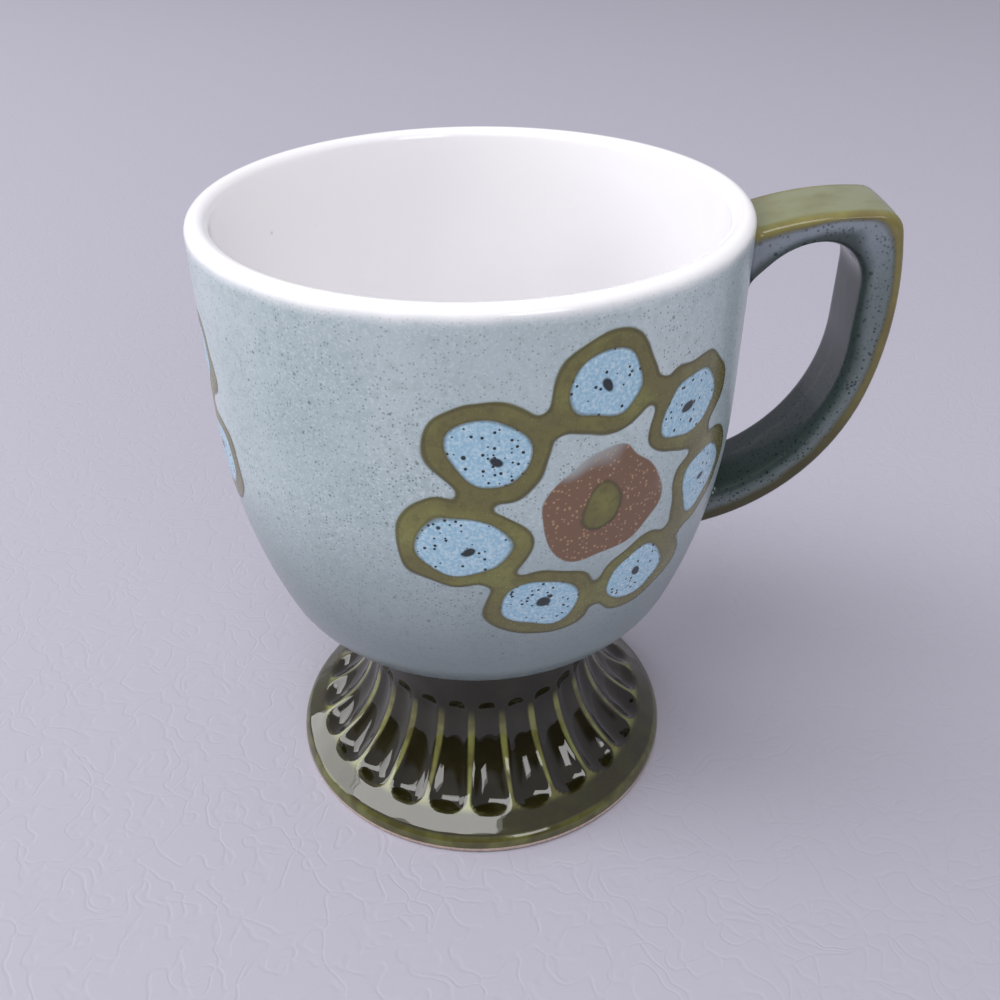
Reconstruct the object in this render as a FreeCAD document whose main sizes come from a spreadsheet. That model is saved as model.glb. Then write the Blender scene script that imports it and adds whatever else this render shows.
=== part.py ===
import FreeCAD, Part
import math
import os
import re
import Sketcher

# A pedestal mug: a straight-sided bowl with a round shoulder, on a trumpet foot
# whose flare carries a ring of flutes, with one strap handle. It is one fired
# piece. Millimetres, +Z up, the foot's resting ring on Z = 0, the bowl's axis
# on Z and the handle along +X. Angles are in degrees.

SIZES = {
    # bowl
    "total_height": 115.0,
    "bowl_radius": 45.4,
    "wall": 3.8,
    "lip_rounding": 1.7,
    "side_curve": 104.0,
    "side_turn": 20.8,
    "shoulder_radius": 14.0,
    # foot
    "neck_radius": 22.5,
    "neck_length": 13.54,
    "neck_fillet": 3.0,
    "flare_radius": 20.5,
    "flare_turn": 58.0,
    "foot_radius": 38.8,
    "brim_rounding": 3.0,
    "edge_height": 1.29,
    "foot_edge": 0.8,
    "foot_wall": 4.5,
    "ring_width": 4.0,
    "hollow_turn": 60.0,
    "hollow_rounding": 8.0,
    "roof": 5.0,
    # flutes in the flare
    "flute_count": 24,
    "flute_phase": 4.06,
    "flute_out": 3.15,
    "flute_up": 0.72,
    "flute_depth": 3.76,
    "flute_top_turn": 9.0,
    "flute_foot_turn": 51.0,
    "flute_top_round": 3.0,
    "flute_foot_round": 4.0,
    "flute_top_radius": 3.6,
    "flute_foot_radius": 5.4,
    # handle
    "handle_width": 15.8,
    "handle_reach": 22.9,
    "crown_drop": 0.55,
    "crown_lead": 2.1,
    "crown_curve": 52.0,
    "corner_radius": 3.7,
    "bow_drop": 16.9,
    "bow_radius": 62.0,
    "bow_foot_turn": 13.8,
    "bow_foot_radius": 38.6,
    "outer_rounding": 1.3,
    "root_fillet": 1.2,
    # finger gap
    "gap_reach": 18.0,
    "gap_drop": 5.5,
    "gap_far_radius": 7.4,
    "gap_near_radius": 11.1,
    "gap_near_turn": 50.0,
    "gap_bow_drop": 23.5,
    "gap_bow_radius": 30.0,
    "inner_rounding": 2.0,
}

TOUCH = 0.01

# Places that more than one outline uses, as formulas of the sizes above. They
# go up from the table: the brim, the flare, the neck, then the bowl's shoulder
# and the height at which its side bends inwards.
FLARE_X = "(neck_radius + flare_radius)"
BRIM_X = f"({FLARE_X} - flare_radius * cos(flare_turn))"
TOUCH_X = "(foot_radius - brim_rounding + brim_rounding * cos(flare_turn))"
TOUCH_Z = "(edge_height + brim_rounding * sin(flare_turn))"
BRIM_Z = f"({TOUCH_Z} + ({TOUCH_X} - {BRIM_X}) / tan(flare_turn))"
FLARE_Z = f"({BRIM_Z} + flare_radius * sin(flare_turn))"
UNDERSIDE = f"({FLARE_Z} + neck_length)"
SIDE_X = "(bowl_radius - side_curve)"
SHOULDER_X = f"({SIDE_X} + (side_curve - shoulder_radius) * cos(side_turn))"
SHOULDER_Z = f"({UNDERSIDE} + shoulder_radius)"
BEND_Z = f"({SHOULDER_Z} + (side_curve - shoulder_radius) * sin(side_turn))"

doc = FreeCAD.newDocument("pedestal_mug")
sheet = doc.addObject("Spreadsheet::Sheet", "Sizes")
for row, (name, value) in enumerate(SIZES.items(), 1):
    sheet.set(f"A{row}", name)
    sheet.set(f"B{row}", str(value))
    sheet.setAlias(f"B{row}", name)
doc.recompute()


def linked(formula):
    """The formula with each size written as a cell of the sheet."""
    return re.sub(r"[a-z]+_?[a-z_]*", lambda word: f"Sizes.{word[0]}" if word[0] in SIZES else word[0],
                  str(formula))


def number(formula):
    """What the formula comes to with the sheet's present sizes."""
    return float(sheet.evalExpression(linked(formula)))


def bind(thing, prop, formula):
    """Tie a property of a feature to the sheet."""
    thing.setExpression(prop, linked(formula))


def plane_sketch(body, role, name):
    """An empty sketch on one of the body's own origin planes."""
    sketch = body.newObject("Sketcher::SketchObject", name)
    plane = next(o for o in body.Origin.OriginFeatures if o.Role == role)
    sketch.AttachmentSupport = [(plane, "")]
    sketch.MapMode = "FlatFace"
    return sketch


def line():
    """A straight stretch of an outline."""
    return None


def arc(x, z, radius, ccw=True):
    """A round stretch of an outline, about (x, z)."""
    return x, z, radius, ccw


def draw_outline(sketch, stretches):
    """Close an outline from (x, z, stretch) triples, each corner and radius tied to the sheet.

    A stretch leads from its own corner to the next one.
    """
    corners = [FreeCAD.Vector(number(x), number(z), 0) for x, z, _ in stretches]
    starts = []
    for index, (_, _, stretch) in enumerate(stretches):
        here = corners[index]
        there = corners[(index + 1) % len(corners)]
        if stretch is None:
            sketch.addGeometry(Part.LineSegment(here, there), False)
            starts.append((1, 2))
            continue
        x, z, radius, ccw = stretch
        centre = FreeCAD.Vector(number(x), number(z), 0)
        first, last = (here, there) if ccw else (there, here)
        angles = [math.atan2(p.y - centre.y, p.x - centre.x) for p in (first, last)]
        circle = Part.Circle(centre, FreeCAD.Vector(0, 0, 1), number(radius))
        sketch.addGeometry(Part.ArcOfCircle(circle, *angles), False)
        starts.append((1, 2) if ccw else (2, 1))
    for index, (x, z, stretch) in enumerate(stretches):
        following = (index + 1) % len(stretches)
        sketch.addConstraint(Sketcher.Constraint("Coincident", index, starts[index][1],
                                                 following, starts[following][0]))
        for kind, formula in (("DistanceX", x), ("DistanceY", z)):
            place_point(sketch, kind, index, starts[index][0], formula)
        if stretch is not None:
            tie = sketch.addConstraint(Sketcher.Constraint("Radius", index, number(stretch[2])))
            bind(sketch, f"Constraints[{tie}]", stretch[2])


def place_point(sketch, kind, index, point, formula):
    """Hold one coordinate of a point at a formula, or on an axis where it is zero."""
    if formula == "0":
        axis = {"DistanceX": -2, "DistanceY": -1}[kind]
        sketch.addConstraint(Sketcher.Constraint("PointOnObject", index, point, axis))
        return
    tie = sketch.addConstraint(Sketcher.Constraint(kind, -1, 1, index, point, number(formula)))
    bind(sketch, f"Constraints[{tie}]", formula)


def turned(body, kind, name, sketch, axis="V_Axis"):
    """Revolve a sketch all the way round an axis, adding or removing what it sweeps."""
    feature = body.newObject(kind, name)
    feature.Profile = sketch
    feature.ReferenceAxis = (sketch, [axis])
    feature.Angle = 360.0
    doc.recompute()
    return feature


def edges_where(shape, test):
    """Names of the edges for which the test holds."""
    return [f"Edge{place}" for place, edge in enumerate(shape.Edges, 1) if test(edge)]


def middle(edge):
    """The point half-way along an edge."""
    return edge.valueAt((edge.FirstParameter + edge.LastParameter) / 2)


def round_edges(body, name, test, radius):
    """Fillet the edges of the body's tip for which the test holds."""
    base = body.Tip
    names = edges_where(base.Shape, test)
    if not names:
        raise RuntimeError(f"{name}: no edge to round")
    fillet = body.newObject("PartDesign::Fillet", name)
    fillet.Base = (base, names)
    bind(fillet, "Radius", radius)
    doc.recompute()
    return fillet


def rim_of(radius, height):
    """A test for round edges about the axis at a radius and height."""
    def test(edge):
        curve = edge.Curve
        if not isinstance(curve, Part.Circle):
            return False
        return abs(curve.Radius - radius) < TOUCH and abs(curve.Center.z - height) < TOUCH
    return test


def side_edges_over(sketch):
    """A test for edges on the handle's two flat sides that lie over an outline, outside the bowl."""
    half = number("handle_width / 2")
    buried = number("bowl_radius - wall")

    def test(edge):
        point = middle(edge)
        if point.x < buried:
            return False
        if abs(abs(point.y) - half) > TOUCH or abs(edge.tangentAt(edge.FirstParameter).y) > TOUCH:
            return False
        flat = Part.Vertex(point.x, 0, point.z)
        return sketch.Shape.distToShape(flat)[0] < TOUCH
    return test


def make_handle(body):
    """The strap handle: its outline padded, its finger gap pocketed, its edges rounded."""
    # The outer line runs up a wide arc, over a small corner arc and back along
    # the flat crown to the bowl. Each arc is tangent to the next.
    corner_x = "(bowl_radius + handle_reach - corner_radius)"
    corner_z = "(total_height - crown_drop - corner_radius)"
    bow_z = "(total_height - bow_drop)"
    bow_inside = "(bow_radius - corner_radius)"
    bow_x = f"({corner_x} - sqrt({bow_inside} ^ 2 - ({corner_z} - {bow_z}) ^ 2))"
    crown_x = f"({corner_x} - crown_lead)"
    crown_inside = "(crown_curve - corner_radius)"
    crown_z = f"({corner_z} - sqrt({crown_inside} ^ 2 - crown_lead ^ 2))"
    foot_x = f"({bow_x} + (bow_radius - bow_foot_radius) * cos(bow_foot_turn))"
    foot_z = f"({bow_z} - (bow_radius - bow_foot_radius) * sin(bow_foot_turn))"
    outline = plane_sketch(body, "XZ_Plane", "HandleOutline")
    draw_outline(outline, [
        (foot_x, f"{foot_z} - bow_foot_radius", arc(foot_x, foot_z, "bow_foot_radius")),
        (f"{bow_x} + bow_radius * cos(bow_foot_turn)", f"{bow_z} - bow_radius * sin(bow_foot_turn)",
         arc(bow_x, bow_z, "bow_radius")),
        (f"{bow_x} + ({corner_x} - {bow_x}) * bow_radius / {bow_inside}",
         f"{bow_z} + ({corner_z} - {bow_z}) * bow_radius / {bow_inside}",
         arc(corner_x, corner_z, "corner_radius")),
        (f"{crown_x} + crown_lead * crown_curve / {crown_inside}",
         f"{crown_z} + ({corner_z} - {crown_z}) * crown_curve / {crown_inside}",
         arc(crown_x, crown_z, "crown_curve")),
        (foot_x, f"{crown_z} + sqrt(crown_curve ^ 2 - ({crown_x} - {foot_x}) ^ 2)", line()),
    ])
    pad = body.newObject("PartDesign::Pad", "HandlePad")
    pad.Profile = outline
    pad.SideType = "Symmetric"
    bind(pad, "Length", "handle_width")
    doc.recompute()

    gap_face = "(bowl_radius + gap_reach)"
    gap_bow_x = f"({gap_face} - gap_bow_radius)"
    gap_bow_z = "(total_height - gap_bow_drop)"
    top_x = f"({gap_face} - gap_far_radius)"
    top_z = "(total_height - gap_drop)"
    near_x = f"({top_x} - gap_near_radius * sin(gap_near_turn))"
    near_z = f"({top_z} - gap_near_radius + gap_near_radius * cos(gap_near_turn))"
    inside_x = "(bowl_radius - wall / 2)"
    inside_z = f"({near_z} - ({near_x} - {inside_x}) * tan(gap_near_turn))"
    gap = plane_sketch(body, "XZ_Plane", "FingerGap")
    draw_outline(gap, [
        (gap_bow_x, f"{gap_bow_z} - gap_bow_radius", arc(gap_bow_x, gap_bow_z, "gap_bow_radius")),
        (gap_face, gap_bow_z, line()),
        (gap_face, f"{top_z} - gap_far_radius", arc(top_x, f"{top_z} - gap_far_radius", "gap_far_radius")),
        (top_x, top_z, arc(top_x, f"{top_z} - gap_near_radius", "gap_near_radius")),
        (near_x, near_z, line()),
        (inside_x, inside_z, line()),
        (gap_bow_x, inside_z, line()),
    ])
    doc.recompute()
    blank = pad.Shape.Volume
    pocket = body.newObject("PartDesign::Pocket", "FingerGapCut")
    pocket.Profile = gap
    pocket.SideType = "Symmetric"
    pocket.Type = "ThroughAll"
    doc.recompute()
    if pocket.Shape.Volume > blank - 1:
        raise RuntimeError("the finger gap cuts nothing")
    round_edges(body, "OuterRounding", side_edges_over(outline), "outer_rounding")
    round_edges(body, "InnerRounding", side_edges_over(gap), "inner_rounding")


def make_blanks(body):
    """The solid of the bowl and the solid of the foot, met by a fillet under the bowl."""
    bowl = plane_sketch(body, "XZ_Plane", "BowlOutline")
    draw_outline(bowl, [
        ("0", UNDERSIDE, line()),
        (SHOULDER_X, UNDERSIDE, arc(SHOULDER_X, SHOULDER_Z, "shoulder_radius")),
        (f"{SIDE_X} + side_curve * cos(side_turn)", f"{BEND_Z} - side_curve * sin(side_turn)",
         arc(SIDE_X, BEND_Z, "side_curve")),
        ("bowl_radius", BEND_Z, line()),
        ("bowl_radius", "total_height", line()),
        ("0", "total_height", line()),
    ])
    turned(body, "PartDesign::Revolution", "BowlBlank", bowl)

    # The brim runs straight on from the flare's end and rounds over into the
    # foot's upright edge.
    foot = plane_sketch(body, "XZ_Plane", "FootOutline")
    draw_outline(foot, [
        ("0", "0", line()),
        ("foot_radius - foot_edge", "0", arc("foot_radius - foot_edge", "foot_edge", "foot_edge")),
        ("foot_radius", "foot_edge", line()),
        ("foot_radius", "edge_height", arc("foot_radius - brim_rounding", "edge_height", "brim_rounding")),
        (TOUCH_X, TOUCH_Z, line()),
        (BRIM_X, BRIM_Z, arc(FLARE_X, FLARE_Z, "flare_radius", ccw=False)),
        ("neck_radius", FLARE_Z, line()),
        ("neck_radius", f"{UNDERSIDE} + wall / 2", line()),
        ("0", f"{UNDERSIDE} + wall / 2", line()),
    ])
    turned(body, "PartDesign::Revolution", "FootBlank", foot)
    neck = number("neck_radius")
    flare_top = number(FLARE_Z)

    def under_bowl(edge):
        curve = edge.Curve
        if not isinstance(curve, Part.Circle) or abs(curve.Radius - neck) > TOUCH:
            return False
        return curve.Center.z > flare_top + TOUCH
    round_edges(body, "NeckFillet", under_bowl, "neck_fillet")


def make_hollows(body):
    """The inside of the bowl and the hollow under the foot, both turned."""
    cavity = plane_sketch(body, "XZ_Plane", "CavityOutline")
    inner_side = "(side_curve - wall)"
    over_lip = "total_height + wall"
    draw_outline(cavity, [
        ("0", f"{UNDERSIDE} + wall", line()),
        (SHOULDER_X, f"{UNDERSIDE} + wall", arc(SHOULDER_X, SHOULDER_Z, "shoulder_radius - wall")),
        (f"{SIDE_X} + {inner_side} * cos(side_turn)", f"{BEND_Z} - {inner_side} * sin(side_turn)",
         arc(SIDE_X, BEND_Z, inner_side)),
        ("bowl_radius - wall", BEND_Z, line()),
        ("bowl_radius - wall", over_lip, line()),
        ("0", over_lip, line()),
    ])
    before = body.Tip.Shape.Volume
    turned(body, "PartDesign::Groove", "Cavity", cavity)
    if body.Tip.Shape.Volume > before - 1:
        raise RuntimeError("the cavity cuts nothing")

    hollow_radius = "(flare_radius + foot_wall)"
    ring_inside = "(foot_radius - foot_edge - ring_width)"
    roof_z = f"({UNDERSIDE} + wall - roof)"
    stem_radius = "(neck_radius - foot_wall)"
    hollow = plane_sketch(body, "XZ_Plane", "HollowOutline")
    draw_outline(hollow, [
        ("0", "-foot_wall", line()),
        (ring_inside, "-foot_wall", line()),
        (ring_inside, "0", line()),
        (f"{FLARE_X} - {hollow_radius} * cos(hollow_turn)",
         f"{FLARE_Z} - {hollow_radius} * sin(hollow_turn)",
         arc(FLARE_X, FLARE_Z, hollow_radius, ccw=False)),
        (stem_radius, FLARE_Z, line()),
        (stem_radius, f"{roof_z} - hollow_rounding",
         arc(f"{stem_radius} - hollow_rounding", f"{roof_z} - hollow_rounding", "hollow_rounding")),
        (f"{stem_radius} - hollow_rounding", roof_z, line()),
        ("0", roof_z, line()),
    ])
    before = body.Tip.Shape.Volume
    turned(body, "PartDesign::Groove", "FootHollow", hollow)
    if body.Tip.Shape.Volume > before - 1:
        raise RuntimeError("the foot hollow cuts nothing")


def make_lip(body):
    """Round the lip over on both sides, each by less than half of the wall."""
    rim = number("total_height")
    outer = rim_of(number("bowl_radius"), rim)
    inner = rim_of(number("bowl_radius - wall"), rim)
    round_edges(body, "LipRounding", lambda edge: outer(edge) or inner(edge),
                "min(lip_rounding; 0.46 * wall)")


def make_flutes(body):
    """The flutes: one cut by a slim turned solid that lies in the flare, then repeated round."""
    # The flute's floor is an arc in the radial plane, a little wider than the
    # flare's own, so that the cut deepens towards the foot. Both its ends round
    # up out of the surface. The cutter is turned about the straight line that
    # joins the middles of its two end sections.
    centre_x = f"({FLARE_X} + flute_out)"
    centre_z = f"({FLARE_Z} + flute_up)"
    floor = "(flare_radius + flute_depth)"

    def at(turn, back, along):
        """A point on the floor's arc, moved back towards its centre and along the flute."""
        return (f"{centre_x} - ({floor} - {back}) * cos({turn}) + ({along}) * sin({turn})",
                f"{centre_z} - ({floor} - {back}) * sin({turn}) - ({along}) * cos({turn})")
    flute = plane_sketch(body, "XZ_Plane", "FluteOutline")
    flute.AttachmentOffset = FreeCAD.Placement(FreeCAD.Vector(),
                                               FreeCAD.Rotation(FreeCAD.Vector(0, 1, 0), 1))
    bind(flute, "AttachmentOffset.Rotation.Angle", "flute_phase")
    top = "flute_top_turn"
    foot = "flute_foot_turn"
    draw_outline(flute, [
        (*at(top, "flute_top_radius", "-flute_top_round"), line()),
        (*at(foot, "flute_foot_radius", "flute_foot_round"), line()),
        (*at(foot, "flute_foot_round", "flute_foot_round"),
         arc(*at(foot, "flute_foot_round", "0"), "flute_foot_round", ccw=False)),
        (*at(foot, "0", "0"), arc(centre_x, centre_z, floor, ccw=False)),
        (*at(top, "0", "0"), arc(*at(top, "flute_top_round", "0"), "flute_top_round", ccw=False)),
        (*at(top, "flute_top_round", "-flute_top_round"), line()),
    ])
    doc.recompute()
    before = body.Tip.Shape.Volume
    cut = turned(body, "PartDesign::Groove", "Flute", flute, "Edge1")
    if cut.Shape.Volume > before - 1:
        raise RuntimeError("the flute cuts nothing")
    pattern = body.newObject("PartDesign::PolarPattern", "Flutes")
    pattern.Originals = [cut]
    pattern.Axis = (next(o for o in body.Origin.OriginFeatures if o.Role == "Z_Axis"), [""])
    pattern.Angle = 360
    bind(pattern, "Occurrences", "flute_count")
    body.Tip = pattern
    doc.recompute()


def make_roots(body):
    """Fillet the handle's two roots into the bowl's side."""
    half = number("handle_width / 2")
    bowl_side = doc.BowlBlank.Shape

    def test(edge):
        point = middle(edge)
        ends = [vertex.Point for vertex in edge.Vertexes]
        if point.x < 0 or abs(point.y) > half + TOUCH or all(abs(p.y) < TOUCH for p in ends):
            return False
        return on_bowl(point)

    def on_bowl(point):
        radius = math.hypot(point.x, point.y)
        height = number(BEND_Z) - point.z
        curve = number("side_curve")
        outside = number("bowl_radius")
        if height > 0:
            outside -= curve - math.sqrt(curve ** 2 - height ** 2)
        return abs(radius - outside) < TOUCH
    round_edges(body, "RootFillet", test, "root_fillet")


body = doc.addObject("PartDesign::Body", "Mug")
body.Label = "mug"
make_handle(body)
make_blanks(body)
make_roots(body)
make_hollows(body)
make_lip(body)
make_flutes(body)
doc.recompute()

for item in doc.Objects:
    if "Invalid" in item.State or "Error" in item.State:
        raise RuntimeError(f"{item.Name} failed: {item.State}")
if body.Shape.isNull() or not body.Shape.isValid() or len(body.Shape.Solids) != 1:
    raise RuntimeError("mug isn't one valid solid")

os.makedirs("parts", exist_ok=True)
body.Shape.exportStep(f"parts/{body.Label}.step")
print(body.Label, "volume", round(body.Shape.Volume, 1), "faces", len(body.Shape.Faces))
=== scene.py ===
"""A stoneware pedestal mug: a turned bowl and fluted foot, a strap handle, and their glazes."""

import math

import bpy
import numpy as np
from mathutils import Matrix, Vector


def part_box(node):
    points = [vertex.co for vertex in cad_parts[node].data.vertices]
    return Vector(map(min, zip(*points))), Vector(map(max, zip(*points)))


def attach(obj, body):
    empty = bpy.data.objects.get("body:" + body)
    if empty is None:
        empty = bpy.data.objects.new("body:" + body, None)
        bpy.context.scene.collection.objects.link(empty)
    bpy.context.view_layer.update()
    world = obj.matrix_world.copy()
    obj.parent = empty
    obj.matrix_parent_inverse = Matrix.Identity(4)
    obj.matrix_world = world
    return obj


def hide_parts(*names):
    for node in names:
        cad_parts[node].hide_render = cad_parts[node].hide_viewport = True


bl_info = {
    "name": "Pedestal mug",
    "version": (1, 0, 0),
    "blender": (4, 5, 0),
    "location": "3D View > Sidebar > Pedestal mug",
    "description": "Models a glazed stoneware mug with a fluted foot and a strap handle",
    "category": "Add Mesh",
}

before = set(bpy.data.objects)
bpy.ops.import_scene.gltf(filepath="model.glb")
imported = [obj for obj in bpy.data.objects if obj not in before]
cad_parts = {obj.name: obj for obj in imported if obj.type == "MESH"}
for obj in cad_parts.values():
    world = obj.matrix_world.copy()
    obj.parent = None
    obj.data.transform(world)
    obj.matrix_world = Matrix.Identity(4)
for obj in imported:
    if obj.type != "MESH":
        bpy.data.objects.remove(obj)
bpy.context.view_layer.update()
_, MUG_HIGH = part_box("mug")

MM = 0.001
HALF_TURN = math.pi
QUARTER_TURN = math.pi / 2

SPIN_STEPS_PER_FLUTE = 20
BOWL_GLAZE_END = math.radians(56)  # how far down the round shoulder the bowl's glaze reaches
ON_SURFACE = 0.02 * MM             # how near a vertex lies to a curve to count as on it
ON_TURN = 0.01                     # how far past an arc's end it still counts, in radians
BODY_WELD = 0.004 * MM             # vertices of the body nearer than this become one
STRAP_WELD = 0.001 * MM            # the same for the strap
STEEP_SHARE = 0.98                 # share of a flute's circle past which its side goes on straight
STEEP_SLOPE = 5                    # how steeply it goes on there
FADE_BAND = (-4.0, -1.5)           # cuts, in softnesses, over which the softened edge fades in
POOL_EDGE = 0.55 * MM              # height over a flute's edge where the thick glaze has thinned out
FACES_AT_ONCE = 20000              # faces whose glaze is looked up in one go
STRAP_START = 2 * MM               # how far inside the bowl's inner wall the strap's lines start
STRAP_END = 5 * MM                 # how far inside it they end
STRAP_STATIONS = (22, 16, 62)      # sections drawn along the bar, the corner and the bow
STRAP_RINGS = 110                  # rings of the finished strap between its roots
FLARE_STEPS = 8                    # places along the curve of a root's flare
PAINT_WAVER = 7.0                  # millimetres that the flowers' lines would waver over a noise of 0 to 1
HOLE_PLACE = (-0.6, 0.5)           # where the dark hole lies in a petal, in millimetres
HOLE_SQUASH = 1.5                  # how much longer than wide the hole is
HOLE_RADIUS = 1.1                  # its half length, in millimetres
ROOT_TUCKS = ((0.25 * MM, 0.3 * MM), (-0.6 * MM, 0.9 * MM))  # last places: (outwards, into the wall)
NEARBY = 0.05 * MM                 # half of the stretch over which the wall's lean is measured


def length(name, millimetres, description):
    """A size that a user may change, given in millimetres."""
    return bpy.props.FloatProperty(name=name, description=description, default=millimetres * MM,
                                   min=0.0, precision=5, unit="LENGTH")


def turn(name, degrees, description):
    """An angle that a user may change."""
    return bpy.props.FloatProperty(name=name, description=description, default=math.radians(degrees),
                                   subtype="ANGLE")


def share(name, value, description):
    """A number from 0 to 1, or a little over it, that a user may change."""
    return bpy.props.FloatProperty(name=name, description=description, default=value, min=0.0, max=4.0)


def linear(red, green, blue):
    """A screen colour, 0 to 255, as the linear values that shaders take."""
    return tuple(v / 12.92 if v <= 0.04045 else ((v + 0.055) / 1.055) ** 2.4
                 for v in (red / 255, green / 255, blue / 255))


def colour(name, screen, description):
    """A colour that a user may change, given as it looks on a screen, 0 to 255."""
    return bpy.props.FloatVectorProperty(name=name, description=description, default=linear(*screen),
                                         size=3, min=0.0, max=1.0, subtype="COLOR")


class BowlSizes(bpy.types.PropertyGroup):
    """The turned bowl."""
    radius: length("Bowl radius", MUG_HIGH.y / MM, "Outside radius of the straight side")
    height: length("Height", MUG_HIGH.z / MM, "Height of the lip over the table")
    wall: length("Wall", 3.8, "Thickness of the bowl's wall")
    lip_rounding: length("Lip rounding", 1.7, "Radius of the lip's two edges")
    side_curve: length("Side curve", 104.0, "Radius of the side's inward curve")
    side_turn: turn("Side turn", 20.8, "Angle through which the side curves before the shoulder")
    shoulder_radius: length("Shoulder", 14.0, "Radius of the round shoulder under the side")


class FootSizes(bpy.types.PropertyGroup):
    """The trumpet foot and the hollow under it."""
    neck_radius: length("Neck radius", 22.5, "Radius of the narrow neck")
    neck_length: length("Neck length", 13.54, "Straight neck from the flare to the bowl's underside")
    neck_fillet: length("Neck fillet", 3.0, "Fillet between neck and bowl")
    flare_radius: length("Flare radius", 20.5, "Radius of the trumpet curve")
    flare_turn: turn("Flare turn", 58.0, "Angle through which the trumpet turns outwards")
    radius: length("Foot radius", 38.8, "Outside radius of the foot")
    brim_rounding: length("Brim rounding", 3.0, "Round from the brim to the upright edge")
    edge_height: length("Edge height", 1.29, "Height of the upright edge")
    edge_rounding: length("Edge rounding", 0.8, "Round at the very bottom")
    ring_width: length("Ring width", 4.0, "Width of the ring that the mug rests on")
    wall: length("Foot wall", 4.5, "Thickness of the foot's wall")
    hollow_turn: turn("Hollow turn", 60.0, "Angle at which the hollow's curve starts")
    hollow_rounding: length("Hollow rounding", 8.0, "Round at the top of the hollow")
    roof: length("Roof", 5.0, "Thickness of clay between the hollow and the drink")


class FluteSizes(bpy.types.PropertyGroup):
    """The scooped flutes round the flare."""
    count: bpy.props.IntProperty(name="Flutes", description="Flutes round the foot", default=24, min=3)
    phase: turn("Phase", 4.06, "Turn of the first flute from the handle")
    out: length("Floor out", 3.15, "How far out the floor's centre lies from the flare's")
    up: length("Floor up", 0.72, "How far up the floor's centre lies from the flare's")
    depth: length("Floor radius over the flare's", 3.76, "How much wider the floor's curve is")
    top_turn: turn("Top turn", 9.0, "Angle on the flare at which a flute starts")
    foot_turn: turn("Foot turn", 51.0, "Angle on the flare at which a flute ends")
    top_round: length("Top scoop", 3.0, "Radius of the scoop at the top")
    foot_round: length("Foot scoop", 4.0, "Radius of the scoop at the foot")
    top_radius: length("Top section", 3.6, "Radius of a flute's section at its top")
    foot_radius: length("Foot section", 5.4, "Radius of a flute's section at its foot")
    softness: length("Softness", 0.3, "How softly the glaze rounds each ridge")


class HandleSizes(bpy.types.PropertyGroup):
    """The strap handle and its finger gap."""
    width: length("Width", 15.8, "Width of the strap")
    corner_reach: length("Corner reach", 22.9, "How far the upper corner stands out from the bowl")
    crown_drop: length("Crown drop", 0.55, "How far the corner's top lies under the lip")
    crown_lead: length("Crown lead", 2.1, "Distance from the crown's highest point to the corner")
    crown_curve: length("Crown curve", 52.0, "Radius of the bar's arched top")
    corner_radius: length("Corner radius", 3.7, "Round of the upper corner")
    bow_drop: length("Bow drop", 16.9, "Height of the bow's centre under the lip")
    bow_radius: length("Bow radius", 62.0, "Radius of the bow's upper part")
    bow_foot_turn: turn("Bow foot turn", 13.8, "Where the bow's lower part takes over")
    bow_foot_radius: length("Bow foot radius", 38.6, "Radius of the bow's lower part")
    gap_reach: length("Gap reach", 18.0, "Depth of the finger gap")
    gap_drop: length("Gap drop", 5.5, "How far the gap's top lies under the lip")
    gap_far_radius: length("Gap far radius", 7.4, "Gap's round at the upper corner")
    gap_near_radius: length("Gap near radius", 11.1, "Gap's round next to the bowl")
    gap_near_turn: turn("Gap near turn", 50.0, "Slope at which the gap meets the bowl")
    gap_bow_drop: length("Gap bow drop", 23.5, "Height of the gap curve's centre under the lip")
    gap_bow_radius: length("Gap bow radius", 30.0, "Radius of the gap's long curve")
    outer_rounding: length("Outer rounding", 1.3, "Round of the strap's outer edges")
    inner_rounding: length("Inner rounding", 2.0, "Round of the edges towards the fingers")
    crowning: length("Crowning", 0.18, "How far the strap's faces bulge")
    root_fillet: length("Root fillet", 1.7, "Fillet where the strap joins the bowl")


class GlazeColours(bpy.types.PropertyGroup):
    """Colours of the glazes, as they look in plain light."""
    white: colour("White", (242, 240, 242), "Lining and lip")
    grey: colour("Grey-blue", (168, 182, 187), "Bowl's ground")
    grey_light: colour("Light grey-blue", (192, 202, 206), "Clouds where the ground is thick")
    grey_deep: colour("Deep grey-blue", (142, 158, 161), "Clouds where the ground is thin")
    speckle: colour("Speckle", (84, 96, 98), "Fine iron specks in the ground")
    olive: colour("Olive", (102, 97, 56), "Painted bands and the strap's outer face")
    olive_dark: colour("Dark olive", (66, 62, 38), "Edges of the painted bands")
    olive_pale: colour("Pale olive", (138, 140, 78), "Where the olive glaze is thin")
    pool: colour("Pool", (26, 23, 6), "Where the olive glaze is thick")
    moss: colour("Moss", (124, 127, 96), "Top of the strap, where the olive glaze is milky")
    slate: colour("Slate", (72, 82, 84), "Strap's sides, where the ground is thin over olive")
    slate_light: colour("Light slate", (106, 111, 123), "Strap's sides next to the bar")
    sky: colour("Sky blue", (142, 180, 204), "Petals")
    sky_light: colour("Light sky blue", (186, 208, 220), "Crystals in the blue")
    pit: colour("Pit", (32, 42, 46), "Dark pits in the blue")
    brown: colour("Brown", (116, 88, 70), "Flower's middle")
    brown_light: colour("Light brown", (186, 152, 118), "Grains in the flower's middle")
    clay: colour("Bare clay", (188, 166, 156), "Unglazed ring under the foot")


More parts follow.
